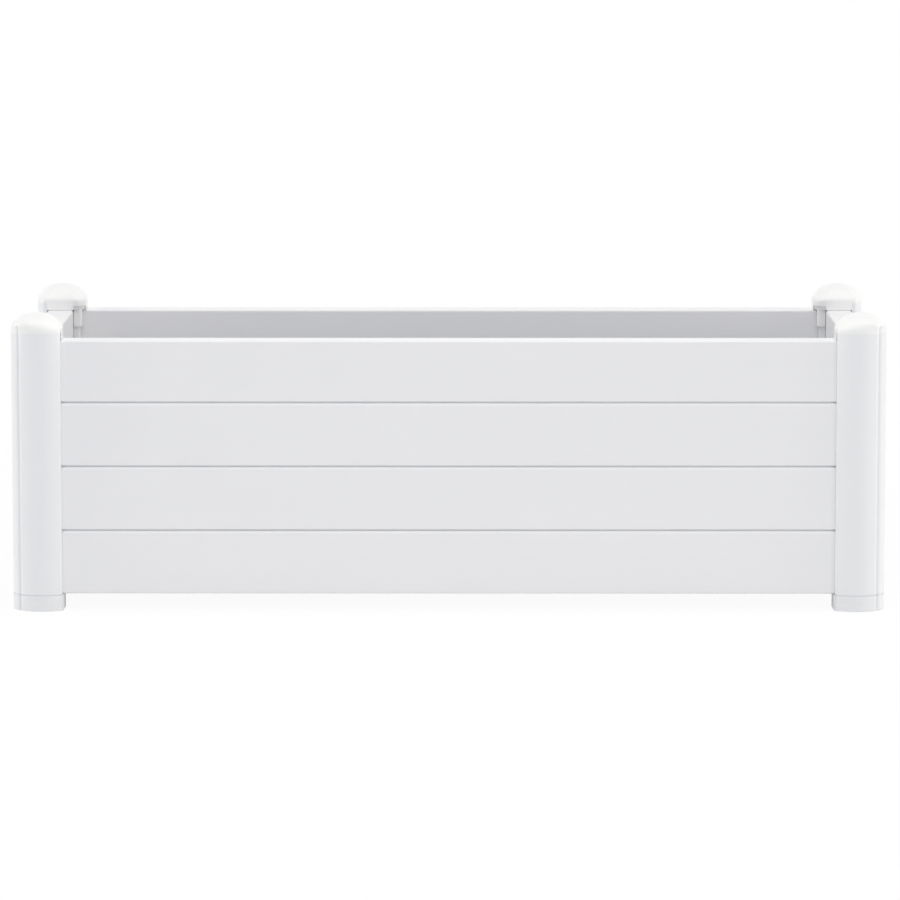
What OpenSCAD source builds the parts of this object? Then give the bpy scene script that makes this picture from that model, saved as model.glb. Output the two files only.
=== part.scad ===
// Raised garden bed in white moulded and extruded polypropylene.
// Four corner posts stand on feet and carry four walls of stacked hollow boards.
// Domed caps close the posts, and ribbed floor panels rest on ledges of the lowest boards.
// Millimetres, +Z up, origin on the ground under the middle of the bed, front towards -Y.

/* [Bed] */
// Length over the rounded outer faces of the posts
bed_length = 1000; // [700:10:1400]
// Width over the rounded outer faces of the posts
bed_width = 430; // [360:10:600]

/* [Corner posts] */
// Side of a post, from its rounded outer face to its board-side edge
post_size = 58; // [57:0.5:62]
// Depth of the crease between the two rounded faces
crease = 10.8; // [10.2:0.1:11]
// Radius of the rounded faces
lobe_r = 42; // [38:1:50]
// Radius of the curl where a rounded face ends
lobe_end_r = 5; // [4:0.25:6]
// Thickness of the post's outer skin and inner walls
post_wall = 2.1; // [1.8:0.1:2.1]
// Clear width of the closed cell in the inner leg of a post
leg_cell = 3.7; // [2:0.1:5]
// Corner radius of the inner leg
leg_r = 3; // [1:0.5:4]

/* [Boards] */
// Thickness of a board
board_t = 31; // [29:0.5:31.5]
// Distance of a board's outer face behind the rounded face of the posts
board_back = 13.2; // [13.2:0.1:14]
// Height that one board covers
board_pitch = 73.5; // [55:0.5:95]
// Height of the top board, which has no tongue
top_board_h = 71.3; // [55:0.1:95]
// Skin and web thickness of the hollow boards
board_wall = 2.2; // [1.6:0.1:2.8]
// Chamfer on the long edges, which makes the seam between two boards
board_chamfer = 1.8; // [0.6:0.1:2.2]
// Radius of the two upper edges of the top board
top_edge_r = 3; // [1:0.5:5]
// Width of the tongue
tongue_w = 12; // [9:0.5:14]
// Height of the tongue
tongue_h = 8; // [5:0.5:11]
// Number of inner webs in a board
web_count = 2; // [1:1:4]

/* [Caps] */
// Rise of the dome above its upright rim
dome_h = 19.5; // [12:0.5:24]
// Height of the cap's upright rim, between the post and the dome
cap_rim = 2.5; // [2:0.5:6]
// How far the post stands above the top board
post_rise = 8.4; // [6:0.2:14]
// Length of the cap's skirt down the inner leg, below the post's top
skirt_drop = 28.4; // [16:0.2:40]
// Thickness of the cap
cap_wall = 2.2; // [1.6:0.1:2.8]
// Overhang of cap and foot on the two inner sides of a post
cap_over = 1; // [0.5:0.1:1.6]
// Radius of the inner corner of cap and foot
cap_corner_r = 14; // [12:0.5:15]
// Height over which the cap draws in from its inner corner to its skirt
cap_taper = 5; // [2:0.5:5.5]
// Length of the plugs that hold cap and foot in the post
plug_h = 24; // [12:1:40]

/* [Feet] */
// Height of a foot
foot_h = 18.8; // [12:0.2:40]
// Thickness of the foot's walls and ribs
foot_wall = 2.6; // [2:0.1:3.2]
// Depth of the shadow gap round the top of a foot
foot_gap = 0.8; // [0.3:0.1:1.2]

/* [Floor] */
// Height of the ledge's upper face above the lowest edge of the board
ledge_z = 10; // [8:0.5:20]
// Width of the ledge that carries the floor
ledge_w = 16; // [12:1:24]
// Thickness of the floor plate
floor_t = 2.6; // [2:0.1:4]
// Depth of the ribs below the floor plate
floor_rib_h = 15; // [8:0.5:17]
// Thickness of the floor ribs
floor_rib_t = 2; // [1.4:0.1:3]
// Diameter of the drain holes
drain_d = 8; // [4:0.5:14]
// Gap round each floor panel
floor_gap = 0.8; // [0.4:0.1:2]

/* [Fits] */
// Sliding clearance of boards in the posts, on each side
slide_fit = 0.3; // [0.2:0.05:0.5]
// Clearance of the tongue in its groove, on each side
tongue_fit = 0.3; // [0.2:0.05:0.5]
// Clearance of the plugs in a post, and of the skirt round its leg
plug_fit = 0.2; // [0.1:0.05:0.3]

/* [Hidden] */
$fn = 48;
eps = 0.05;
row_count = 4;
panel_count = 4;
rib_columns = 4;
rib_rows = 6;

wall_z = foot_h;
wall_top = wall_z + (row_count - 1) * board_pitch + top_board_h;
post_top = wall_top + post_rise;
dome_z = post_top + cap_rim;

channel_lo = board_back - slide_fit;
channel_hi = board_back + board_t + slide_fit;
channel_stop = channel_hi + post_wall;
leg_face = channel_stop + leg_cell + post_wall;
board_end = channel_stop + slide_fit;
inner_face = board_back + board_t;

lobe_mid = (post_size + crease) / 2;
lobe_half = (post_size - crease) / 2;
lobe_angle = asin((lobe_half - lobe_end_r) / (lobe_r - lobe_end_r));
lobe_end_v = lobe_r - (lobe_r - lobe_end_r) * cos(lobe_angle);
spill = 1;

cap_face = post_size + cap_over;
cap_mid = cap_face / 2;
dome_steps = 44;
dome_rings = 8;
dome_lip = 0.15;
void_lip = 1;
round_power = 2.5;
round_rate = 3;

ledge_edge = 3;
ledge_drop = 6;
ledge_gap = 2;
ledge_end = inner_face + ledge_w + ledge_gap;
rib_clear = 1.5;
floor_z = wall_z + ledge_z;
floor_length = bed_length - 2 * inner_face;
floor_width = bed_width - 2 * inner_face;
panel_pitch = (floor_length - floor_gap) / panel_count;

// Corner pieces are drawn with their outer corner at the origin and turned to the four corners
module at_corner(turn) {
    x = (turn == 1 || turn == 2) ? bed_length / 2 : -bed_length / 2;
    y = (turn >= 2) ? bed_width / 2 : -bed_width / 2;
    translate([x, y, 0]) rotate(90 * turn) children();
}

// Swaps the two outer sides of a corner piece
module both_sides() {
    children();
    mirror([1, -1, 0]) children();
}

// One rounded outer face down to a depth, made of a wide arc between two small end arcs
module lobe(inset, depth) {
    arc_w = 2 * (lobe_r - inset) * sin(lobe_angle);
    intersection() {
        translate([0, -spill]) square([post_size + cap_over, depth + spill]);
        union() {
            intersection() {
                translate([lobe_mid, lobe_r]) circle(lobe_r - inset, $fn = 96);
                translate([lobe_mid - arc_w / 2, -spill]) square([arc_w, depth + 2 * spill]);
            }
            for (side = [-1, 1])
                translate([lobe_mid + side * (lobe_half - lobe_end_r), lobe_end_v])
                    circle(lobe_end_r - inset);
            translate([crease + inset, lobe_end_v])
                square([post_size - crease - 2 * inset, depth + spill - lobe_end_v]);
        }
    }
}

// Square from one corner point to another
module block(lo, hi) {
    translate([lo, lo]) square(hi - lo);
}

// Square with its inner corner rounded
module round_block(lo, hi, r) {
    polygon([[lo, lo], [hi, lo], [hi, hi - r], [hi - r, hi], [lo, hi]]);
    translate([hi - r, hi - r]) circle(r);
}

// Outline shared by the cap's rim and the foot, moved inwards by inset
module rim_outline(inset = 0) {
    both_sides() lobe(inset, channel_lo);
    round_block(crease + inset, cap_face - inset, cap_corner_r - inset);
}

// Hollow post section with its two board channels and four closed cells
module post_section() {
    difference() {
        union() {
            both_sides() lobe(0, channel_lo);
            round_block(crease, leg_face, leg_r);
        }
        both_sides() translate([channel_stop, channel_lo])
            square([post_size, channel_hi - channel_lo]);
        block(crease + post_wall, channel_hi);
        both_sides() lobe(post_wall, channel_lo - post_wall);
        block(channel_stop, leg_face - post_wall);
    }
}

// Corner post, an extruded profile with rounded outer faces
module post() {
    color("white") translate([0, 0, foot_h]) linear_extrude(post_top - foot_h) post_section();
}

// Square tube that plugs into the middle cell of a post
module plug_section(wall) {
    lo = crease + post_wall + plug_fit;
    hi = channel_hi - plug_fit;
    difference() {
        block(lo, hi);
        block(lo + wall, hi - wall);
    }
}

// Distance from the origin at which a ray leaves a circle, or 0 where it misses
function ray_circle(c, r, ray) =
    let (b = c * ray, q = r * r - c * c + b * b)
    q < 0 ? 0 : b + sqrt(q);

// The same for the wide arc of a rounded face, which counts only between its end arcs
function ray_lobe(c, r, ray) =
    let (d = ray_circle(c, r, ray))
    abs(d * ray.x - c.x) > r * sin(lobe_angle) || d * ray.y > c.y ? 0 : d;

// Distance at which a ray leaves a flat inner side, between the lobe and the rounded corner
function ray_face(lo, hi, r, ray) =
    let (d = ray.x > eps ? hi / ray.x : 0)
    d * ray.y > hi - r || d * ray.y < lo ? 0 : d;

// Reach of the rim outline from the cap's middle along one ray
function rim_reach_half(ray) = let (
    mid = [cap_mid, cap_mid],
    ends = [for (side = [-1, 1])
        [lobe_mid + side * (lobe_half - lobe_end_r), lobe_end_v] - mid])
    max(ray_lobe([lobe_mid, lobe_r] - mid, lobe_r, ray),
        ray_circle(ends[0], lobe_end_r, ray), ray_circle(ends[1], lobe_end_r, ray),
        ray_face(crease - cap_mid, cap_mid, cap_corner_r, ray));
function rim_reach(ray) = let (c = cap_mid - cap_corner_r)
    max(rim_reach_half(ray), rim_reach_half([ray.y, ray.x]),
        ray_circle([c, c], cap_corner_r, ray));

// Reach of the rounded square that the dome turns into above its edge
function round_reach(ray) =
    cap_mid / pow(pow(abs(ray.x), round_power) + pow(abs(ray.y), round_power), 1 / round_power);

// One ring of the dome, an ellipse upwards, where climb runs from 0 at the edge to 1 at the crown
function dome_ring(climb, inset, lip) = let (
    angle = 90 * (1 - climb),
    z = dome_z + (dome_h - inset) * cos(angle),
    blend = min(1, round_rate * climb))
    [for (i = [0:dome_steps - 1])
        let (a = 360 * i / dome_steps, ray = [cos(a), sin(a)],
             edge = rim_reach(ray) * (1 - blend) + round_reach(ray) * blend,
             reach = sin(angle) * (edge - inset - lip))
        [cap_mid + reach * ray.x, cap_mid + reach * ray.y, z]];

// Dome moved inwards by inset, on a flat base that lies inside the rim by lip
module dome(inset, lip) {
    n = dome_steps;
    last = (dome_rings - 1) * n;
    points = [for (k = [0:dome_rings - 1]) each dome_ring(k / dome_rings, inset, lip)];
    crown = [cap_mid, cap_mid, dome_z + dome_h - inset];
    base = [for (i = [0:n - 1]) i];
    sides = [for (k = [0:dome_rings - 2], i = [0:n - 1])
        let (a = k * n + i, b = k * n + (i + 1) % n)
        each [[a, a + n, b + n], [a, b + n, b]]];
    top = [for (i = [0:n - 1]) [last + i, dome_rings * n, last + (i + 1) % n]];
    polyhedron(concat(points, [crown]), concat([base], sides, top));
}

// Domed cap with a rim, bridges over the board channels, a skirt on the inner leg and a plug
module cap() {
    skirt_in = leg_face + plug_fit;
    skirt_out = skirt_in + cap_wall - plug_fit;
    bridge_z = wall_top + slide_fit;
    bridge_h = post_top - bridge_z;
    bridge_lo = channel_lo + plug_fit;
    skirt_z = post_top - skirt_drop;
    leg_lo = channel_hi + plug_fit;
    turn = cap_face - cap_corner_r;
    color("white") {
        difference() {
            union() {
                dome(0, dome_lip);
                translate([0, 0, post_top]) linear_extrude(cap_rim) rim_outline();
            }
            difference() {
                union() {
                    dome(cap_wall, void_lip);
                    translate([0, 0, post_top - eps])
                        linear_extrude(cap_rim + eps) rim_outline(cap_wall);
                }
                translate([0, 0, post_top]) linear_extrude(cap_rim + dome_h) plug_section(cap_wall);
            }
        }
        translate([0, 0, bridge_z]) linear_extrude(bridge_h) intersection() {
            rim_outline();
            both_sides() translate([cap_face - cap_wall, bridge_lo])
                square([cap_wall, leg_lo - bridge_lo]);
        }
        intersection() {
            translate([0, 0, bridge_z]) linear_extrude(bridge_h) difference() {
                intersection() {
                    rim_outline();
                    block(leg_lo, cap_face);
                }
                round_block(0, skirt_in, leg_r);
            }
            translate([turn, turn, bridge_z])
                cylinder(h = bridge_h, r1 = skirt_out - turn,
                         r2 = skirt_out - turn + (cap_face - skirt_out) * bridge_h / cap_taper);
        }
        translate([0, 0, skirt_z]) linear_extrude(bridge_z - skirt_z + eps) difference() {
            round_block(leg_lo, skirt_out, leg_r);
            round_block(0, skirt_in, leg_r);
        }
        translate([0, 0, post_top - plug_h]) linear_extrude(plug_h) plug_section(cap_wall);
    }
}

// Foot with a ribbed underside, a plate that carries post and boards, and a plug
module foot() {
    plate_z = foot_h - foot_wall;
    color("white") {
        difference() {
            union() {
                linear_extrude(foot_h - foot_gap) rim_outline();
                linear_extrude(foot_h) rim_outline(foot_gap);
            }
            translate([0, 0, -eps]) linear_extrude(plate_z + eps) rim_outline(foot_wall);
        }
        linear_extrude(plate_z + eps) intersection() {
            rim_outline(foot_wall / 2);
            both_sides() for (place = [1, 2, 3])
                translate([0, place * cap_face / 4 - foot_wall / 2]) square([cap_face, foot_wall]);
        }
        translate([0, 0, plate_z]) linear_extrude(foot_wall + plug_h) plug_section(foot_wall);
    }
}

// Solid outline of a board, lowest edge at 0
module board_outline(h, top) {
    c = board_chamfer;
    r = top ? top_edge_r : 0;
    polygon([[0, c], [c, 0], [board_t - c, 0], [board_t, c],
             [board_t, h - (top ? r : c)], [board_t - (top ? r : c), h],
             [(top ? r : c), h], [0, h - (top ? r : c)]]);
    if (top)
        for (x = [r, board_t - r]) translate([x, h - r]) circle(r);
    else
        translate([(board_t - tongue_w) / 2, h - c]) polygon([[0, 0], [tongue_w, 0],
            [tongue_w, tongue_h], [tongue_w - c, tongue_h + c], [c, tongue_h + c], [0, tongue_h]]);
}

// Hollow section of a board with its groove, webs and tongue
module board_section(h, top) {
    w = board_wall;
    groove_w = tongue_w + 2 * tongue_fit;
    groove_h = tongue_h + 2 * tongue_fit;
    groove_x = (board_t - groove_w) / 2;
    side_w = groove_x - 2 * w;
    cells_z = groove_h + w;
    cell_pitch = (h - cells_z) / (web_count + 1);
    difference() {
        board_outline(h, top);
        translate([groove_x, -eps]) square([groove_w, groove_h + eps]);
        for (x = [w, board_t - w - side_w])
            translate([x, w]) square([side_w, cells_z - 2 * w]);
        for (i = [0:web_count])
            translate([w, cells_z + i * cell_pitch]) square([board_t - 2 * w, cell_pitch - w]);
        if (!top)
            translate([(board_t - tongue_w) / 2 + w, h - w - eps])
                square([tongue_w - 2 * w, tongue_h + eps]);
    }
}

// Ledge section on the inner face of a lowest board
module ledge_section() {
    x = board_t - board_wall / 2;
    polygon([[x, ledge_z], [board_t + ledge_w, ledge_z], [board_t + ledge_w, ledge_z - ledge_edge],
             [board_t, ledge_z - ledge_edge - ledge_drop], [x, ledge_z - ledge_edge - ledge_drop]]);
}

// Turns a section of thickness and height into a length of profile, centred on its length
module profile(length) {
    rotate([90, 0, 90]) translate([0, 0, -length / 2]) linear_extrude(length) children();
}

// One board of a wall, where span is the wall's size over the posts and reach its distance out
module board(row, turn, span, reach) {
    top = row == row_count;
    h = top ? top_board_h : board_pitch;
    color("white") rotate(90 * turn)
        translate([0, board_back - reach / 2, wall_z + (row - 1) * board_pitch]) {
            profile(span - 2 * board_end) board_section(h, top);
            if (row == 1) profile(span - 2 * ledge_end) ledge_section();
        }
}
module front_board(row) { board(row, 0, bed_length, bed_width); }
module right_board(row) { board(row, 1, bed_width, bed_length); }
module back_board(row) { board(row, 2, bed_length, bed_width); }
module left_board(row) { board(row, 3, bed_width, bed_length); }

// Ribbed floor panel with a drain hole between each four ribs
module floor_panel(place) {
    x0 = -floor_length / 2 + floor_gap + (place - 1) * panel_pitch;
    x1 = x0 + panel_pitch - floor_gap;
    y1 = floor_width / 2 - floor_gap;
    wall_side = ledge_w + rib_clear;
    rib_x0 = x0 + (place == 1 ? wall_side : rib_clear);
    rib_x1 = x1 - (place == panel_count ? wall_side : rib_clear);
    rib_y1 = y1 - wall_side;
    column = (rib_x1 - rib_x0 - floor_rib_t) / (rib_columns - 1);
    line = (2 * rib_y1 - floor_rib_t) / (rib_rows - 1);
    rib_z = floor_z - floor_rib_h;
    color("gainsboro") difference() {
        union() {
            translate([x0, -y1, floor_z]) cube([x1 - x0, 2 * y1, floor_t]);
            for (i = [0:rib_columns - 1])
                translate([rib_x0 + i * column, -rib_y1, rib_z])
                    cube([floor_rib_t, 2 * rib_y1, floor_rib_h + eps]);
            for (j = [0:rib_rows - 1])
                translate([rib_x0, -rib_y1 + j * line, rib_z])
                    cube([rib_x1 - rib_x0, floor_rib_t, floor_rib_h + eps]);
        }
        for (i = [0:rib_columns - 2], j = [0:rib_rows - 2])
            translate([rib_x0 + (i + 0.5) * column + floor_rib_t / 2,
                       -rib_y1 + (j + 0.5) * line + floor_rib_t / 2, floor_z - eps])
                cylinder(h = floor_t + 2 * eps, d = drain_d);
        for (turn = [0:3])
            at_corner(turn) translate([0, 0, rib_z])
                cube([leg_face + floor_gap, leg_face + floor_gap, floor_rib_h + 2 * floor_t]);
    }
}

at_corner(0) post();  // post_front_left
at_corner(1) post();  // post_front_right
at_corner(2) post();  // post_back_right
at_corner(3) post();  // post_back_left
at_corner(0) cap();  // cap_front_left
at_corner(1) cap();  // cap_front_right
at_corner(2) cap();  // cap_back_right
at_corner(3) cap();  // cap_back_left
at_corner(0) foot();  // foot_front_left
at_corner(1) foot();  // foot_front_right
at_corner(2) foot();  // foot_back_right
at_corner(3) foot();  // foot_back_left
front_board(1);  // front_board_1
front_board(2);  // front_board_2
front_board(3);  // front_board_3
front_board(4);  // front_board_4
back_board(1);  // back_board_1
back_board(2);  // back_board_2
back_board(3);  // back_board_3
back_board(4);  // back_board_4
left_board(1);  // left_board_1
left_board(2);  // left_board_2
left_board(3);  // left_board_3
left_board(4);  // left_board_4
right_board(1);  // right_board_1
right_board(2);  // right_board_2
right_board(3);  // right_board_3
right_board(4);  // right_board_4
floor_panel(1);  // floor_panel_1
floor_panel(2);  // floor_panel_2
floor_panel(3);  // floor_panel_3
floor_panel(4);  // floor_panel_4
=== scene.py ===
"""Looks of a raised garden bed, a push-together kit in white polypropylene.

Extruded corner posts hold stacked hollow boards, moulded caps and feet close the posts, and
ribbed floor panels lie on ledges of the lowest boards. Lengths are in metres, +Z is up, the
origin is on the ground under the middle of the bed, and the front looks towards -Y.
"""
import logging
import math
from dataclasses import dataclass, field
from enum import Enum
from typing import Any, Optional, Sequence

import bmesh
import bpy
from mathutils import Matrix, Vector
from mathutils.geometry import tessellate_polygon


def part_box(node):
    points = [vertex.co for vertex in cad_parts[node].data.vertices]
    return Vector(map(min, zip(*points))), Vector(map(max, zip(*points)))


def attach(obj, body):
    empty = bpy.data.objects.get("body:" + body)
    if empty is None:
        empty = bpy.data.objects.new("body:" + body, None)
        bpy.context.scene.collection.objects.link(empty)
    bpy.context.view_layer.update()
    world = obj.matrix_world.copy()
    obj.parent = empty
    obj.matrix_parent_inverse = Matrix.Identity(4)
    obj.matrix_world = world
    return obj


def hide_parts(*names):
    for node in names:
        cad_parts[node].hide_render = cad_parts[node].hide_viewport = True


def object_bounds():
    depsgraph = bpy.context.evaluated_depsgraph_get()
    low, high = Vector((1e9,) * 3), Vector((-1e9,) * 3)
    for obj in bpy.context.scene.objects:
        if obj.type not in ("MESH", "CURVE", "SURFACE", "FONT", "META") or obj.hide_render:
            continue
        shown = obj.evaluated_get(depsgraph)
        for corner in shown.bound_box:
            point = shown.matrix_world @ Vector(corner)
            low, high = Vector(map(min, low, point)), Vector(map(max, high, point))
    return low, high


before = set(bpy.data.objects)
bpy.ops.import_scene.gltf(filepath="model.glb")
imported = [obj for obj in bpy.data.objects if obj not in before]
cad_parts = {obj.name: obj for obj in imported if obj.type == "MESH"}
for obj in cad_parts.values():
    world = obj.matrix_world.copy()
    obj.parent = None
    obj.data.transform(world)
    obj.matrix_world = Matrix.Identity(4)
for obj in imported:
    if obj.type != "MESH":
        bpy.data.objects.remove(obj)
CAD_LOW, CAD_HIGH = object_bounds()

LOG = logging.getLogger("garden_bed")
MM = 0.001
BODY = "root"
ROWS = (1, 2, 3, 4)
FLOOR_PANELS = (1, 2, 3, 4)

# Points this close are one point, and faces at this angle or less, in degrees, lie flat
JOINING_DISTANCE = 0.001 * MM
FLAT_ANGLE = 0.5
# An edge is bevelled from this angle on, in degrees, which leaves the steps of wide arcs alone
SHARP_ANGLE = 22
BEVEL_STEPS = 2

# Input and output numbers of the Mix node, which has one set for each type of data
MIX_FACTOR, MIX_FLOAT_A, MIX_FLOAT_B, MIX_COLOUR_A, MIX_COLOUR_B = 0, 2, 3, 6, 7
MIX_FLOAT_RESULT, MIX_COLOUR_RESULT = 0, 2
# Most values of a noise texture lie between these two
NOISE_LOW, NOISE_HIGH = 0.3, 0.7

Point = tuple[float, float]
Loop = list[Point]


class Corner(Enum):
    """The four corners, with the quarter turns that bring a front left piece there."""

    FRONT_LEFT = 0
    FRONT_RIGHT = 1
    BACK_RIGHT = 2
    BACK_LEFT = 3

    @property
    def label(self) -> str:
        """Name of the corner as it ends the names of its pieces."""
        return self.name.lower()

    def placement(self) -> Matrix:
        """Matrix from a piece drawn round its own outer corner to this corner of the bed."""
        right = self in (Corner.FRONT_RIGHT, Corner.BACK_RIGHT)
        back = self in (Corner.BACK_RIGHT, Corner.BACK_LEFT)
        place = Vector((CAD_HIGH.x if right else CAD_LOW.x, CAD_HIGH.y if back else CAD_LOW.y, 0))
        return Matrix.Translation(place) @ quarter_turns(self.value)


class Wall(Enum):
    """The four walls, with the quarter turns that bring a front board there."""

    FRONT = 0
    RIGHT = 1
    BACK = 2
    LEFT = 3

    def board_name(self, row: int) -> str:
        """Name of the board in a row, where row 1 is the lowest."""
        return f"{self.name.lower()}_board_{row}"

    def local_box(self, row: int) -> tuple[Vector, Vector]:
        """Lowest and highest corner of a board, turned back to the front.

        Args:
            row: Row of the board, 1 for the lowest.

        Returns:
            Two corners with X along the board, Y into the bed and Z up.
        """
        back = quarter_turns(-self.value)
        a, b = (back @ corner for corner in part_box(self.board_name(row)))
        return Vector(map(min, a, b)), Vector(map(max, a, b))


class Run(Enum):
    """Direction in which a profile was drawn through its die."""

    ALONG_X = (1, 0, 0)
    ALONG_Y = (0, 1, 0)
    ALONG_Z = (0, 0, 1)


def quarter_turns(count: int) -> Matrix:
    """Rotation about Z by a number of quarter turns."""
    return Matrix.Rotation(math.radians(90 * count), 4, "Z")


def arc(centre: Point, radius: float, start: float, end: float, steps: int) -> Loop:
    """Points along an arc.

    Args:
        centre: Centre of the arc.
        radius: Radius of the arc.
        start: First angle in degrees, from the first axis.
        end: Last angle in degrees.
        steps: Number of stretches between the points.

    Returns:
        The points, both ends included.
    """
    angles = [math.radians(start + (end - start) * i / steps) for i in range(steps + 1)]
    return [(centre[0] + radius * math.cos(a), centre[1] + radius * math.sin(a)) for a in angles]


def with_mirror(half: Loop) -> Loop:
    """Closes a half outline, whose ends lie on the diagonal, with its mirror image."""
    return half + [(v, u) for u, v in reversed(half[1:-1])]


def rectangle(low: Point, high: Point) -> Loop:
    """Rectangle between two corners, counter-clockwise."""
    return [low, (high[0], low[1]), high, (low[0], high[1])]


class Draft:
    """Points and faces of a piece, gathered before they become one mesh."""

    def __init__(self) -> None:
        """Starts with nothing drawn."""
        self.points: list[Vector] = []
        self.faces: list[tuple[int, ...]] = []

    def ring(self, loop: Sequence[Point], level: float) -> list[int]:
        """Adds a flat outline.

        Args:
            loop: Points of the outline.
            level: Their third coordinate.

        Returns:
            Indices of the new points.
        """
        return self.course([Vector((u, v, level)) for u, v in loop])

    def course(self, points: Sequence[Vector]) -> list[int]:
        """Adds points at their own levels and returns their indices."""
        first = len(self.points)
        self.points += points
        return list(range(first, len(self.points)))

    def band(self, low: Sequence[int], high: Sequence[int], closed: bool = True) -> None:
        """Joins two rings of equal count with four-sided faces.

        Args:
            low: Indices of one ring.
            high: Indices of the other.
            closed: Whether the last points join the first ones.
        """
        count = len(low)
        for i in range(count if closed else count - 1):
            j = (i + 1) % count
            self.faces.append((low[i], low[j], high[j], high[i]))

    def lid(self, rings: Sequence[Sequence[int]]) -> None:
        """Fills a flat outline, given first, round the holes that follow it."""
        flat = [[Vector(self.points[i][:2]).to_3d() for i in ring] for ring in rings]
        order = [i for ring in rings for i in ring]
        self.faces += [tuple(order[k] for k in face) for face in tessellate_polygon(flat)]

    def fan(self, ring: Sequence[int], point: Vector) -> None:
        """Closes a ring with triangles that meet at a point."""
        self.points.append(point)
        tip = len(self.points) - 1
        for i, index in enumerate(ring):
            self.faces.append((index, ring[(i + 1) % len(ring)], tip))

    def extrude(self, outline: Loop, holes: Sequence[Loop], low: float, high: float) -> None:
        """Draws a straight profile.

        Args:
            outline: Outer outline of its section.
            holes: Closed cells in the section.
            low: Level of one end.
            high: Level of the other end.
        """
        ends = [[self.ring(loop, level) for loop in (outline, *holes)] for level in (low, high)]
        for lower, upper in zip(*ends):
            self.band(lower, upper)
        for end in ends:
            self.lid(end)

    def loft(self, outlines: Sequence[Loop], levels: Sequence[float]) -> None:
        """Draws a closed solid through outlines of equal count, one at each level."""
        rings = [self.ring(loop, level) for loop, level in zip(outlines, levels)]
        for lower, upper in zip(rings, rings[1:]):
            self.band(lower, upper)
        for end in (rings[0], rings[-1]):
            self.lid([end])

    def piece(self, name: str, placement: Matrix) -> bpy.types.Object:
        """Turns the draft into an object with its place in its mesh.

        Args:
            name: Name of the object.
            placement: Matrix from the draft's own axes to the bed.

        Returns:
            The object, linked to the scene.
        """
        mesh = bpy.data.meshes.new(name)
        mesh.from_pydata([placement @ p for p in self.points], [], self.faces)
        work = bmesh.new()
        work.from_mesh(mesh)
        bmesh.ops.remove_doubles(work, verts=work.verts, dist=JOINING_DISTANCE)
        bmesh.ops.recalc_face_normals(work, faces=work.faces)
        work.to_mesh(mesh)
        work.free()
        made = bpy.data.objects.new(name, mesh)
        bpy.context.scene.collection.objects.link(made)
        return made


def soften_edges(piece: bpy.types.Object, radius: float, weld: bool = False) -> None:
    """Breaks the sharp edges of a piece, as every die and mould does.

    Args:
        piece: The object to soften.
        radius: Largest width of the rounding. The bevel makes it narrower by itself on a piece
            with thin triangles, because no face may run into the next.
        weld: Whether points that lie together and triangles that lie flat are joined first, as
            on a node of the frame.
    """
    if weld:
        joined = piece.modifiers.new("joined_points", "WELD")
        joined.merge_threshold = JOINING_DISTANCE
        flat = piece.modifiers.new("whole_faces", "DECIMATE")
        flat.decimate_type = "DISSOLVE"
        flat.angle_limit = math.radians(FLAT_ANGLE)
    rounding = piece.modifiers.new("edge_radius", "BEVEL")
    rounding.width = radius
    rounding.segments = BEVEL_STEPS
    rounding.limit_method = "ANGLE"
    rounding.angle_limit = math.radians(SHARP_ANGLE)
    normals = piece.modifiers.new("even_normals", "WEIGHTED_NORMAL")
    normals.keep_sharp = True
    for polygon in piece.data.polygons:
        polygon.use_smooth = True


def linear(hex_colour: str) -> tuple[float, float, float, float]:
    """Turns an sRGB hex colour such as #F2F3F6 into linear RGBA."""
    shares = [int(hex_colour[i:i + 2], 16) / 255 for i in (1, 3, 5)]
    red, green, blue = (s / 12.92 if s <= 0.04045 else ((s + 0.055) / 1.055) ** 2.4 for s in shares)
    return red, green, blue, 1.0


def add_node(
    tree: bpy.types.NodeTree,
    kind: str,
    values: Optional[dict[Any, Any]] = None,
    links: Optional[dict[Any, bpy.types.NodeSocket]] = None,
    **settings: Any,
) -> bpy.types.Node:
    """Adds a node with its settings and links.

    Args:
        tree: Node tree that gets the node.
        kind: Blender's name of the node type.
        values: Constants for its inputs, by socket name or number.
        links: Sources for its inputs, by socket name or number.
        **settings: Properties of the node itself.

    Returns:
        The new node.
    """
    node = tree.nodes.new(kind)
    for name, value in settings.items():
        setattr(node, name, value)
    for socket, value in (values or {}).items():
        node.inputs[socket].default_value = value
    for socket, source in (links or {}).items():
        tree.links.new(source, node.inputs[socket])
    return node


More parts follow.
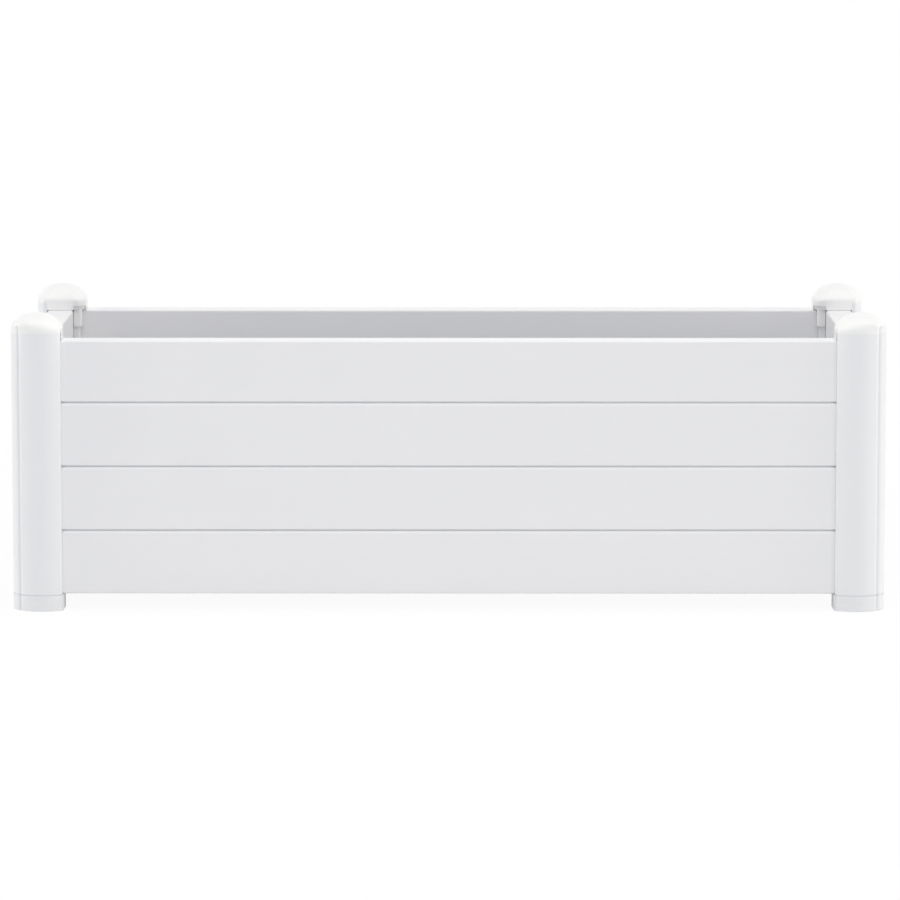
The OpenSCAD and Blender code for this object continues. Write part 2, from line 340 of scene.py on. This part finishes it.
@dataclass(frozen=True)
class Polypropylene:
    """Polypropylene: an even colour, by default a bright white, with a soft, uneven shine."""

    name: str
    slot: str
    white: str = "#F3F3F5"
    shade: str = "#EEEEF1"
    ior: float = 1.49
    gloss: float = 0.30
    dull: float = 0.42
    cloud_size: float = 90 * MM
    relief_depth: float = 0.02 * MM
    relief_share: float = 0.35

    def relief(self, tree: bpy.types.NodeTree, place: bpy.types.NodeSocket) -> bpy.types.NodeSocket:
        """Height of the surface's own texture, from 0 to 1, which each process makes its way."""
        raise NotImplementedError

    def material(self) -> bpy.types.Material:
        """Builds the material once and returns it.

        Returns:
            The material, with colour, roughness and relief from noise at real sizes.
        """
        known = bpy.data.materials.get(self.name)
        if known:
            return known
        made = bpy.data.materials.new(self.name)
        made.use_nodes = True
        tree = made.node_tree
        tree.nodes.clear()
        place = add_node(tree, "ShaderNodeTexCoord").outputs["Object"]
        clouds = add_node(
            tree, "ShaderNodeTexNoise",
            {"Scale": 1 / self.cloud_size, "Detail": 3.0, "Roughness": 0.45}, {"Vector": place},
        ).outputs["Fac"]
        height = self.relief(tree, place)
        worn = add_node(
            tree, "ShaderNodeMix",
            {MIX_FACTOR: self.relief_share}, {MIX_FLOAT_A: clouds, MIX_FLOAT_B: height},
            data_type="FLOAT",
        ).outputs[MIX_FLOAT_RESULT]
        colour = add_node(
            tree, "ShaderNodeMix",
            {MIX_COLOUR_A: linear(self.white), MIX_COLOUR_B: linear(self.shade)},
            {MIX_FACTOR: worn}, data_type="RGBA",
        ).outputs[MIX_COLOUR_RESULT]
        roughness = add_node(
            tree, "ShaderNodeMapRange",
            {"From Min": NOISE_LOW, "From Max": NOISE_HIGH, "To Min": self.gloss,
             "To Max": self.dull}, {"Value": worn},
        ).outputs["Result"]
        bump = add_node(
            tree, "ShaderNodeBump",
            {"Strength": 1.0, "Distance": self.relief_depth}, {"Height": height},
        ).outputs["Normal"]
        surface = add_node(
            tree, "ShaderNodeBsdfPrincipled",
            {"IOR": self.ior},
            {"Base Color": colour, "Roughness": roughness, "Normal": bump},
        )
        add_node(tree, "ShaderNodeOutputMaterial", links={"Surface": surface.outputs["BSDF"]})
        return made


@dataclass(frozen=True)
class ExtrudedPolypropylene(Polypropylene):
    """Polypropylene drawn through a die, which leaves faint straight lines along the profile."""

    run: Run = Run.ALONG_X
    line_spacing: float = 2.6 * MM
    line_length: float = 700 * MM

    def relief(self, tree: bpy.types.NodeTree, place: bpy.types.NodeSocket) -> bpy.types.NodeSocket:
        """Die lines: noise drawn out along the profile.

        The real lines are a few tenths of a millimetre apart, and they are drawn coarser so
        that they show from a few steps away.

        Args:
            tree: Node tree of the material.
            place: Position on the piece, in metres.

        Returns:
            Height from 0 to 1.
        """
        scale = [1 / self.line_length if along else 1 / self.line_spacing for along in self.run.value]
        drawn = add_node(
            tree, "ShaderNodeMapping", {"Scale": scale}, {"Vector": place},
        ).outputs["Vector"]
        return add_node(
            tree, "ShaderNodeTexNoise",
            {"Scale": 1.0, "Detail": 4.0, "Roughness": 0.6}, {"Vector": drawn},
        ).outputs["Fac"]


@dataclass(frozen=True)
class MouldedPolypropylene(Polypropylene):
    """Polypropylene pressed into a polished steel mould, with a faint even pebbling."""

    pebble_size: float = 1.4 * MM

    def relief(self, tree: bpy.types.NodeTree, place: bpy.types.NodeSocket) -> bpy.types.NodeSocket:
        """Pebbling of the mould.

        Args:
            tree: Node tree of the material.
            place: Position on the piece, in metres.

        Returns:
            Height from 0 to 1.
        """
        return add_node(
            tree, "ShaderNodeTexNoise",
            {"Scale": 1 / self.pebble_size, "Detail": 2.0, "Roughness": 0.5}, {"Vector": place},
        ).outputs["Fac"]


def board_finish(run: Run) -> ExtrudedPolypropylene:
    """Finish of the hollow boards, with its die lines along the wall."""
    return ExtrudedPolypropylene(f"extruded_polypropylene_board_{run.name[-1].lower()}",
                                 "board_plastic", run=run)


# The posts have a darker white than the boards, painted shade on their rounded faces
POST_FINISH = ExtrudedPolypropylene("extruded_polypropylene_post", "post_plastic",
                                    white="#EFF0F2", shade="#EAEBEE",
                                    run=Run.ALONG_Z, relief_depth=0.012 * MM)
# The caps have a more neutral white than the profiles, made lighter as painted light on their rims;
# the feet have the posts' darker white, painted shade
CAP_FINISH = MouldedPolypropylene("moulded_polypropylene_cap", "moulded_plastic",
                                  white="#F5F5F5", shade="#F1F1F2", relief_depth=0.006 * MM)
FOOT_FINISH = MouldedPolypropylene("moulded_polypropylene_foot", "moulded_plastic",
                                   white="#EDEEF0", shade="#E8E9EC", relief_depth=0.006 * MM)
# A floor panel has a coarser, duller mould than what shows from outside, and is painted a mid grey:
# painted shade that keeps the inside of the bed dim
FLOOR_FINISH = MouldedPolypropylene("moulded_polypropylene_matte", "floor_plastic",
                                    white="#8A8D90", shade="#7F8285", gloss=0.5, dull=0.62,
                                    pebble_size=2.2 * MM, relief_depth=0.03 * MM)


def dress(piece: bpy.types.Object, finish: Polypropylene) -> None:
    """Gives a piece one finish all over.

    Args:
        piece: A new piece or a node of the frame.
        finish: Its finish, whose material the piece gets.
    """
    piece.data.materials.clear()
    piece.data.materials.append(finish.material())


def stand_in(piece: bpy.types.Object, node: str) -> None:
    """Lets a new piece ride on the bed in place of a node of the frame."""
    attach(piece, BODY)
    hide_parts(node)
    low, high = (Vector(corner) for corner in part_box(node))
    LOG.info("%s stands for %s, %.1f x %.1f x %.1f mm", piece.name, node, *((high - low) / MM))


@dataclass
class CornerOutline:
    """Plan of a corner piece: two rounded outer faces that meet in a crease.

    The outline is drawn from the outer corner, with one wall along each axis.
    """

    size: float = 58 * MM
    crease: float = 10.8 * MM
    face_radius: float = 42 * MM
    end_radius: float = 5 * MM
    overhang: float = 1 * MM
    inner_radius: float = 14 * MM
    bridge_start: float = 12.9 * MM
    leg_start: float = 44.7 * MM
    face_steps: int = 28
    end_steps: int = 8
    inner_steps: int = 8

    @property
    def middle(self) -> float:
        """Place of a rounded face's middle along its wall."""
        return (self.size + self.crease) / 2

    @property
    def reach(self) -> float:
        """Distance from a rounded face's middle to the centre of its end arcs."""
        return (self.size - self.crease) / 2 - self.end_radius

    @property
    def sweep(self) -> float:
        """Half the angle of the wide arc, in degrees."""
        return math.degrees(math.asin(self.reach / (self.face_radius - self.end_radius)))

    @property
    def end_depth(self) -> float:
        """Depth at which the end arcs turn into straight sides."""
        wide = self.face_radius - self.end_radius
        return self.face_radius - wide * math.cos(math.radians(self.sweep))

    @property
    def turn(self) -> float:
        """Place of the inner corner's centre on both axes."""
        return self.size + self.overhang - self.inner_radius

    def face(self, inset: float = 0.0) -> Loop:
        """One rounded face, from its side at the crease to its inner side.

        Args:
            inset: How far the outline is moved inwards.

        Returns:
            Points of an end arc, the wide arc and the other end arc.
        """
        small, wide = self.end_radius - inset, self.face_radius - inset
        near, far = 270 - self.sweep, 270 + self.sweep
        first = arc((self.middle - self.reach, self.end_depth), small, 180, near, self.end_steps)
        face = arc((self.middle, self.face_radius), wide, near, far, self.face_steps)
        last = arc((self.middle + self.reach, self.end_depth), small, far, 360, self.end_steps)
        return first + face[1:] + last[1:]

    def rim(self) -> tuple[Loop, range]:
        """Outline of a cap, closed, from the crease round to the crease.

        Returns:
            The outline, and the stretch of its points that reaches down over the channels.
        """
        inner, turn = self.size + self.overhang, self.turn
        outside = [(self.crease, self.crease), *self.face(), (self.size, self.crease),
                   (inner, self.crease)]
        inside = [(inner, self.bridge_start), (inner, self.leg_start),
                  *arc((turn, turn), self.inner_radius, 0, 45, self.inner_steps)]
        outline = with_mirror(outside + inside)
        return outline, range(len(outside), len(outline) - len(outside) + 1)


@dataclass
class CornerPost:
    """Extruded corner post with two board channels and four closed cells."""

    outline: CornerOutline
    corner: Corner
    skin: float = 2.1 * MM
    board_back: float = 13.2 * MM
    board_depth: float = 31 * MM
    slide_fit: float = 0.3 * MM
    leg_back: float = 5.6 * MM
    leg_radius: float = 3 * MM
    leg_steps: int = 3
    edge: float = 0.35 * MM

    def build(self) -> bpy.types.Object:
        """Draws the post between its foot and its cap.

        Returns:
            The post in place.
        """
        plan = self.outline
        low = self.board_back - self.slide_fit
        high = self.board_back + self.board_depth + self.slide_fit
        stop = high + self.skin
        leg = plan.size - self.leg_back
        bend = leg - self.leg_radius
        outline = with_mirror([
            (plan.crease, plan.crease), *plan.face(), (plan.size, low), (stop, low), (stop, high),
            (leg, high), *arc((bend, bend), self.leg_radius, 0, 45, self.leg_steps),
        ])
        cell_top = low - self.skin
        rounded = [*plan.face(self.skin), (plan.size - self.skin, cell_top),
                   (plan.crease + self.skin, cell_top)]
        cells = [
            rectangle((plan.crease + self.skin,) * 2, (high,) * 2),
            rectangle((stop,) * 2, (leg - self.skin,) * 2),
            rounded,
            [(v, u) for u, v in reversed(rounded)],
        ]
        bottom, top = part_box(f"post_{self.corner.label}")
        draft = Draft()
        draft.extrude(outline, cells, bottom.z, top.z)
        return draft.piece(f"corner_post_{self.corner.label}", self.corner.placement())

    def finish(self) -> None:
        """Builds the post, rounds its edges and dresses it."""
        post = self.build()
        soften_edges(post, self.edge)
        dress(post, POST_FINISH)
        stand_in(post, f"post_{self.corner.label}")


@dataclass
class PostCap:
    """Moulded cap: a dome on a rim, with a bridge over each channel and a skirt on the leg."""

    outline: CornerOutline
    corner: Corner
    dome_height: float = 19.5 * MM
    rim_height: float = 2.5 * MM
    bridge_drop: float = 8.1 * MM
    skirt_drop: float = 28.4 * MM
    wall: float = 2.2 * MM
    fit: float = 0.2 * MM
    plug_length: float = 24 * MM
    plug_low: float = 13.1 * MM
    plug_high: float = 44.3 * MM
    taper_height: float = 5 * MM
    shoulder_radius: float = 11.8 * MM
    leg_high: float = 52.6 * MM
    leg_radius: float = 3 * MM
    leg_steps: int = 6
    shoulder_steps: int = 16
    round_power: float = 2.5
    round_rate: float = 3.0
    dome_rings: int = 26
    edge: float = 0.5 * MM

    @property
    def centre(self) -> float:
        """Place of the dome's middle on both axes."""
        return (self.outline.size + self.outline.overhang) / 2

    @property
    def rim_middle(self) -> float:
        """Place of the middle of the rim's wall on the two inner sides."""
        return self.outline.size + self.outline.overhang - self.wall / 2

    def dome_point(self, point: Point, climb: float, inset: float) -> Vector:
        """Point of the dome over a point of the rim.

        Args:
            point: Point of the rim's outline.
            climb: Way up the dome, 0 at the rim and 1 at the crown.
            inset: How far inside the outer surface the point lies.

        Returns:
            The point, with its height above the rim.
        """
        angle = math.radians(90 * (1 - climb))
        away = Vector(point) - Vector((self.centre, self.centre))
        ray = away.normalized()
        rounded = self.centre / sum(abs(c) ** self.round_power for c in ray) ** (1 / self.round_power)
        step = min(1.0, self.round_rate * climb)
        blend = step * step * (3 - 2 * step)
        reach = math.sin(angle) * (away.length * (1 - blend) + rounded * blend - inset)
        height = math.cos(angle) * (self.dome_height - inset)
        return Vector((self.centre + reach * ray.x, self.centre + reach * ray.y, height))

    def draw_shell(self, draft: Draft, post_top: float) -> None:
        """Draws the dome with its rim and the bridges over the two channels.

        Args:
            draft: Draft that gets the faces.
            post_top: Level of the post's end, on which the rim sits.
        """
        rim, deep = self.outline.rim()
        rim_top = post_top + self.rim_height
        lips = []
        for inset in (0.0, self.wall):
            flat = [self.dome_point(p, 0.0, inset).xy for p in rim]
            ring = draft.ring(flat, post_top)
            lips.append((flat, ring))
            for k in range(self.dome_rings):
                climb = k / self.dome_rings
                rise = Vector((0, 0, rim_top))
                above = draft.course([self.dome_point(p, climb, inset) + rise for p in rim])
                draft.band(ring, above)
                ring = above
            crown = Vector((self.centre, self.centre, rim_top + self.dome_height - inset))
            draft.fan(ring, crown)
        self.draw_lip(draft, lips, deep, post_top - self.bridge_drop)

    def draw_lip(self, draft: Draft, lips: list[tuple[Loop, list[int]]], deep: range,
                 bridge: float) -> None:
        """Closes the shell below: level on the rounded faces, deeper over the channels.

        Args:
            draft: Draft that gets the faces.
            lips: Outer and inner outline, with the indices of their points.
            deep: Stretch of the outline that reaches down over the channels.
            bridge: Level of the lip there, which lies higher round the inner corner.
        """
        (outer, outer_ring), (inner, inner_ring) = lips
        over_channels = (*deep[:2], *deep[-2:])
        levels = [bridge if i in over_channels else bridge + self.taper_height for i in deep]
        outer_low = draft.course([Vector((*outer[i], z)) for i, z in zip(deep, levels)])
        inner_low = draft.course([Vector((*inner[i], z)) for i, z in zip(deep, levels)])
        outer_high = [outer_ring[i] for i in deep]
        inner_high = [inner_ring[i] for i in deep]
        draft.band(outer_low, outer_high, closed=False)
        draft.band(inner_low, inner_high, closed=False)
        draft.band(outer_low, inner_low, closed=False)
        for end in (0, -1):
            draft.faces.append((outer_low[end], outer_high[end], inner_high[end], inner_low[end]))
        level = [*range(deep[-1], len(outer)), *range(deep[0] + 1)]
        draft.band([outer_ring[i] for i in level], [inner_ring[i] for i in level], closed=False)

    def draw_skirt(self, draft: Draft, post_top: float) -> None:
        """Draws the skirt over the post's inner leg, its shoulder and the bridges' end walls.

        The end walls reach a little into the shoulder and above the post, so that these closed
        shapes overlap and share no corner.

        Args:
            draft: Draft that gets the faces.
            post_top: Level of the post's end.
        """
        start, turn = self.outline.leg_start, self.outline.turn
        bridge = post_top - self.bridge_drop
        outside = self.leg_high + self.wall - self.fit
        bend = self.leg_high - self.leg_radius
        leg = [(start, self.leg_high), *arc((bend, bend), self.leg_radius, 90, 0, self.leg_steps),
               (self.leg_high, start)]
        shoulder = ((self.shoulder_radius, bridge),
                    (self.outline.inner_radius - self.edge, bridge + self.taper_height),
                    (self.outline.inner_radius - self.wall / 2, post_top))
        plans = [[(turn + r, start), *arc((turn, turn), r, 0, 90, self.shoulder_steps),
                  (start, turn + r), *leg] for r, _ in shoulder]
        draft.loft(plans, [level for _, level in shoulder])
        bend = outside - self.leg_radius
        skirt = [(outside, start), *arc((bend, bend), self.leg_radius, 0, 90, self.leg_steps),
                 (start, outside)]
        draft.loft([skirt + leg] * 2, [post_top - self.skirt_drop, bridge + self.fit])
        end_wall = rectangle((self.leg_high + self.fit, start - self.wall),
                             (self.rim_middle, start + self.fit))
        for wall in (end_wall, [(v, u) for u, v in reversed(end_wall)]):
            draft.extrude(wall, [], bridge + self.fit, post_top + self.fit)

    def build(self) -> bpy.types.Object:
        """Draws the whole cap.

        Returns:
            The cap in place.
        """
        post_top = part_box(f"post_{self.corner.label}")[1].z
        draft = Draft()
        self.draw_shell(draft, post_top)
        self.draw_skirt(draft, post_top)
        plug = rectangle((self.plug_low,) * 2, (self.plug_high,) * 2)
        bore = rectangle((self.plug_low + self.wall,) * 2, (self.plug_high - self.wall,) * 2)
        draft.extrude(plug, [bore], post_top - self.plug_length, post_top + 2 * self.rim_height)
        return draft.piece(f"post_cap_{self.corner.label}", self.corner.placement())

    def finish(self) -> None:
        """Builds the cap, rounds its edges and dresses it."""
        cap = self.build()
        soften_edges(cap, self.edge)
        dress(cap, CAP_FINISH)
        stand_in(cap, f"cap_{self.corner.label}")


@dataclass
class BoardSection:
    """Section of a hollow board, with thickness first and height second."""

    depth: float
    height: float
    top: bool
    skin: float = 2.2 * MM
    seam_height: float = 1.2 * MM
    seam_depth: float = 3.1 * MM
    lip_radius: float = 0.5 * MM
    shoulder_sink: float = 0.9 * MM
    shoulder_depth: float = 1.3 * MM
    shoulder_height: float = 2.7 * MM
    top_radius: float = 3 * MM
    tongue_width: float = 12 * MM
    tongue_height: float = 8 * MM
    tongue_edge: float = 1.8 * MM
    tongue_fit: float = 0.3 * MM
    webs: int = 2
    lip_steps: int = 3
    top_steps: int = 8

    @property
    def groove_height(self) -> float:
        """Depth of the groove in the lower edge."""
        return self.tongue_height + 2 * self.tongue_fit

    def tongue(self) -> tuple[float, float]:
        """Where the tongue starts and ends across the board's thickness."""
        return (self.depth - self.tongue_width) / 2, (self.depth + self.tongue_width) / 2

    def groove(self) -> tuple[float, float]:
        """Where the groove starts and ends across the board's thickness."""
        start, end = self.tongue()
        return start - self.tongue_fit, end + self.tongue_fit

    def outline(self) -> Loop:
        """Outer outline: a groove and two shadow gaps below, a tongue and two shoulders above.

        The gap under a board is the dark band of a seam, and the shoulder below it catches light.

        Returns:
            Points of the outline, counter-clockwise from the middle of the groove.
        """
        d, gap, back, r = self.depth, self.seam_height, self.seam_depth, self.lip_radius
        end = self.groove()[1]
        half = [(d / 2, self.groove_height), (end, self.groove_height), (end, 0), (d - back, 0),
                (d - back, gap), *arc((d - r, gap + r), r, 270, 360, self.lip_steps),
                *self.upper_edge()]
        return half + [(d - u, v) for u, v in reversed(half[1:-1])]

    def upper_edge(self) -> Loop:
        """Inner half of the upper edge, from the board's inner face to its middle.

        Returns:
            A rounded edge on a top board, and else a sunk shoulder beside the tongue.
        """
        d, h, r = self.depth, self.height, self.top_radius
        if self.top:
            return [*arc((d - r, h - r), r, 0, 90, self.top_steps), (d / 2, h)]
        far = self.tongue()[1]
        crest, edge, ledge = h + self.tongue_height, self.tongue_edge, h - self.shoulder_sink
        return [(d, ledge - self.shoulder_height), (d - self.shoulder_depth, ledge),
                (d - self.seam_depth, ledge), (d - self.seam_depth, h), (far, h),
                (far, crest - edge), (far - edge, crest), (d / 2, crest)]

    def cells(self) -> list[Loop]:
        """Closed cells: two beside the groove, and those between the webs.

        Returns:
            One outline for each cell.
        """
        w, d = self.skin, self.depth
        start, end = self.groove()
        floor = self.groove_height + w
        pitch = (self.height - floor) / (self.webs + 1)
        low = self.seam_height + w
        made = [rectangle((w, low), (start - w, floor - w)),
                rectangle((end + w, low), (d - w, floor - w))]
        made += [rectangle((w, floor + i * pitch), (d - w, floor + (i + 1) * pitch - w))
                 for i in range(self.webs + (1 if self.top else 0))]
        if not self.top:
            near, far = self.tongue()
            under, crest = self.height - w, self.height + self.tongue_height - w
            made.append([(w, floor + self.webs * pitch), (d - w, floor + self.webs * pitch),
                         (d - w, under), (far - w, under), (far - w, crest), (near + w, crest),
                         (near + w, under), (w, under)])
        return made


@dataclass
class WallBoard:
    """Extruded hollow board, whose ends stand in the channels of two posts."""

    wall: Wall
    row: int
    ledge_height: float = 10 * MM
    ledge_width: float = 16 * MM
    ledge_edge: float = 3 * MM
    ledge_drop: float = 6 * MM
    ledge_back: float = 15.3 * MM
    edge: float = 0.3 * MM

    def section(self) -> BoardSection:
        """Section with the sizes of the boards in the frame."""
        low, high = self.wall.local_box(2)
        own_low, own_high = self.wall.local_box(self.row)
        top = self.row == ROWS[-1]
        covered = own_high.z if top else self.wall.local_box(self.row + 1)[0].z
        return BoardSection(high.y - low.y, covered - own_low.z, top)

    def build(self) -> bpy.types.Object:
        """Draws the board, and the ledge of a lowest board.

        Returns:
            The board in place.
        """
        low, high = self.wall.local_box(self.row)
        section = self.section()
        draft = Draft()
        draft.extrude(section.outline(), section.cells(), low.x, high.x)
        if self.row == ROWS[0]:
            inner = section.depth
            under = self.ledge_height - self.ledge_edge
            hidden = inner - section.skin / 2
            ledge = [(hidden, self.ledge_height), (hidden, under - self.ledge_drop),
                     (inner, under - self.ledge_drop), (inner + self.ledge_width, under),
                     (inner + self.ledge_width, self.ledge_height)]
            draft.extrude(ledge, [], low.x + self.ledge_back, high.x - self.ledge_back)
        upright = Matrix(((0, 0, 1, 0), (1, 0, 0, low.y), (0, 1, 0, low.z), (0, 0, 0, 1)))
        name = f"hollow_board_{self.wall.name.lower()}_{self.row}"
        return draft.piece(name, quarter_turns(self.wall.value) @ upright)

    def finish(self) -> None:
        """Builds the board, rounds its edges and dresses it."""
        board = self.build()
        soften_edges(board, self.edge)
        along_x = self.wall in (Wall.FRONT, Wall.BACK)
        dress(board, board_finish(Run.ALONG_X if along_x else Run.ALONG_Y))
        stand_in(board, self.wall.board_name(self.row))


@dataclass
class FramePiece:
    """Moulded piece whose shape is right in the frame, so only its edges and finish are added."""

    node: str
    finish_kind: Polypropylene
    edge: float = 0.4 * MM

    def finish(self) -> None:
        """Rounds the edges of the frame's node and dresses it."""
        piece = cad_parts[self.node]
        soften_edges(piece, self.edge, weld=True)
        dress(piece, self.finish_kind)
        LOG.info("%s keeps its shape and gets %s", self.node, self.finish_kind.name)


@dataclass
class GardenBed:
    """The whole kit: posts, caps, feet, walls and floor."""

    outline: CornerOutline = field(default_factory=CornerOutline)

    def pieces(self) -> list[Any]:
        feet = [FramePiece(f"foot_{corner.label}", FOOT_FINISH) for corner in Corner]
        floor = [FramePiece(f"floor_panel_{i}", FLOOR_FINISH) for i in FLOOR_PANELS]
        posts = [CornerPost(self.outline, corner) for corner in Corner]
        boards = [WallBoard(wall, row) for wall in Wall for row in ROWS]
        caps = [PostCap(self.outline, corner) for corner in Corner]
        return [*feet, *floor, *posts, *boards, *caps]

    def assemble(self) -> None:
        """Builds and dresses every piece."""
        for piece in self.pieces():
            piece.finish()


@dataclass
class Camera:
    """Camera with a long lens, a little above the bed and in front of it."""

    place: tuple[float, float, float] = (0.018, -5.785, 0.876)
    pitch: float = 7.057
    yaw: float = 0.168
    lens: float = 197.2
    sensor: float = 36.0
    sight: float = 200.0

    def build(self) -> None:
        """Adds the camera and makes it the scene's own."""
        data = bpy.data.cameras.new("camera")
        data.lens = self.lens
        data.sensor_width = self.sensor
        data.clip_end = self.sight
        camera = bpy.data.objects.new("camera", data)
        camera.location = self.place
        camera.rotation_euler = (math.radians(90 - self.pitch), 0, math.radians(self.yaw))
        bpy.context.scene.collection.objects.link(camera)
        bpy.context.scene.camera = camera


@dataclass
class Softbox:
    """Square studio lamp that looks at the middle of the bed."""

    name: str
    place: tuple[float, float, float]
    side: float
    level: float
    colour: str = "#FFFBEE"
    target: tuple[float, float, float] = (0, 0, 0.17)

    def build(self) -> None:
        """Adds the lamp, where a level of 1 makes its face as bright as white paper."""
        data = bpy.data.lights.new(self.name, "AREA")
        data.shape = "SQUARE"
        data.size = self.side
        data.energy = self.level * math.pi * self.side ** 2
        data.color = linear(self.colour)[:3]
        lamp = bpy.data.objects.new(self.name, data)
        lamp.location = self.place
        away = Vector(self.place) - Vector(self.target)
        lamp.rotation_euler = away.to_track_quat("Z", "Y").to_euler()
        bpy.context.scene.collection.objects.link(lamp)


@dataclass
class Studio:
    """Pale floor, white surroundings and soft lamps."""

    floor_side: float = 120.0
    floor_drop: float = 0.1 * MM
    floor_colour: str = "#F4F4F4"
    shadow_share: float = 0.05
    shadow_near: float = 0.7
    shadow_far: float = 1.8
    ambient: float = 0.545
    ambient_colour: str = "#F0F4FF"
    lamps: tuple[Softbox, ...] = (
        Softbox("softbox_top", (0.0, -1.0, 3.2), 3.0, 1.8),
        Softbox("softbox_left", (-9.0, -0.3, 1.86), 4.9, 3.7),
        Softbox("softbox_right", (9.0, -0.3, 1.86), 4.9, 3.8),
        Softbox("softbox_front", (4.2, -5.0, 1.05), 2.0, 2.1),
    )

    def build_floor(self) -> None:
        """Adds the floor, whose shadow shows faintly near the bed and fades to plain white.

        It is clear from below, so that the bed's underside can be looked at.
        """
        draft = Draft()
        half = self.floor_side / 2
        draft.lid([draft.ring(rectangle((-half, -half), (half, half)), -self.floor_drop)])
        floor = draft.piece("floor", Matrix.Identity(4))
        # A lone face has no outside, so it may come out looking down
        if floor.data.polygons[0].normal.z < 0:
            floor.data.flip_normals()
        made = bpy.data.materials.new("white_paper_floor")
        made.use_nodes = True
        tree = made.node_tree
        tree.nodes.clear()
        paper = add_node(tree, "ShaderNodeBsdfDiffuse", {"Color": linear(self.floor_colour)})
        veil = add_node(tree, "ShaderNodeEmission", {"Color": (1, 1, 1, 1), "Strength": 1.0})
        place = add_node(tree, "ShaderNodeTexCoord").outputs["Object"]
        away = add_node(tree, "ShaderNodeVectorMath", links={0: place},
                        operation="LENGTH").outputs["Value"]
        share = add_node(tree, "ShaderNodeMapRange", {
            "From Min": self.shadow_near, "From Max": self.shadow_far,
            "To Min": 1 - self.shadow_share, "To Max": 1.0}, {"Value": away}).outputs["Result"]
        share = add_node(tree, "ShaderNodeMath", links={0: share, 1: self.seen(tree)},
                         operation="MULTIPLY").outputs[0]
        mixed = add_node(tree, "ShaderNodeMixShader", links={
            0: share, 1: paper.outputs["BSDF"], 2: veil.outputs["Emission"]})
        below = add_node(tree, "ShaderNodeNewGeometry").outputs["Backfacing"]
        clear = add_node(tree, "ShaderNodeBsdfTransparent")
        one_way = add_node(tree, "ShaderNodeMixShader", links={
            0: below, 1: mixed.outputs["Shader"], 2: clear.outputs["BSDF"]})
        add_node(tree, "ShaderNodeOutputMaterial", links={"Surface": one_way.outputs["Shader"]})
        floor.data.materials.append(made)

    @staticmethod
    def seen(tree: bpy.types.NodeTree) -> bpy.types.NodeSocket:
        """Socket with 1 for rays that the camera, a gloss or a glass sees, and 0 for the others."""
        rays = add_node(tree, "ShaderNodeLightPath").outputs
        seen = rays["Is Camera Ray"]
        for kind in ("Is Glossy Ray", "Is Transmission Ray"):
            seen = add_node(tree, "ShaderNodeMath", links={0: seen, 1: rays[kind]},
                            operation="MAXIMUM").outputs[0]
        return seen

    def build_surroundings(self) -> None:
        """Sets the world: soft light on the bed, plain white where it is seen."""
        world = bpy.data.worlds.new("white_studio")
        world.use_nodes = True
        tree = world.node_tree
        tree.nodes.clear()
        soft = add_node(tree, "ShaderNodeBackground",
                        {"Color": linear(self.ambient_colour), "Strength": self.ambient})
        white = add_node(tree, "ShaderNodeBackground", {"Color": (1, 1, 1, 1), "Strength": 1.0})
        mixed = add_node(tree, "ShaderNodeMixShader", links={
            0: self.seen(tree), 1: soft.outputs["Background"], 2: white.outputs["Background"]})
        add_node(tree, "ShaderNodeOutputWorld", links={"Surface": mixed.outputs["Shader"]})
        bpy.context.scene.world = world

    def build(self) -> None:
        """Sets up floor, surroundings and lamps."""
        self.build_floor()
        self.build_surroundings()
        for lamp in self.lamps:
            lamp.build()
        bpy.context.scene.view_settings.view_transform = "Standard"


def main() -> None:
    """Builds the camera, the bed and the studio."""
    logging.basicConfig(level=logging.INFO, format="%(message)s")
    Camera().build()
    GardenBed().assemble()
    Studio().build()


if __name__ == "__main__":
    main()
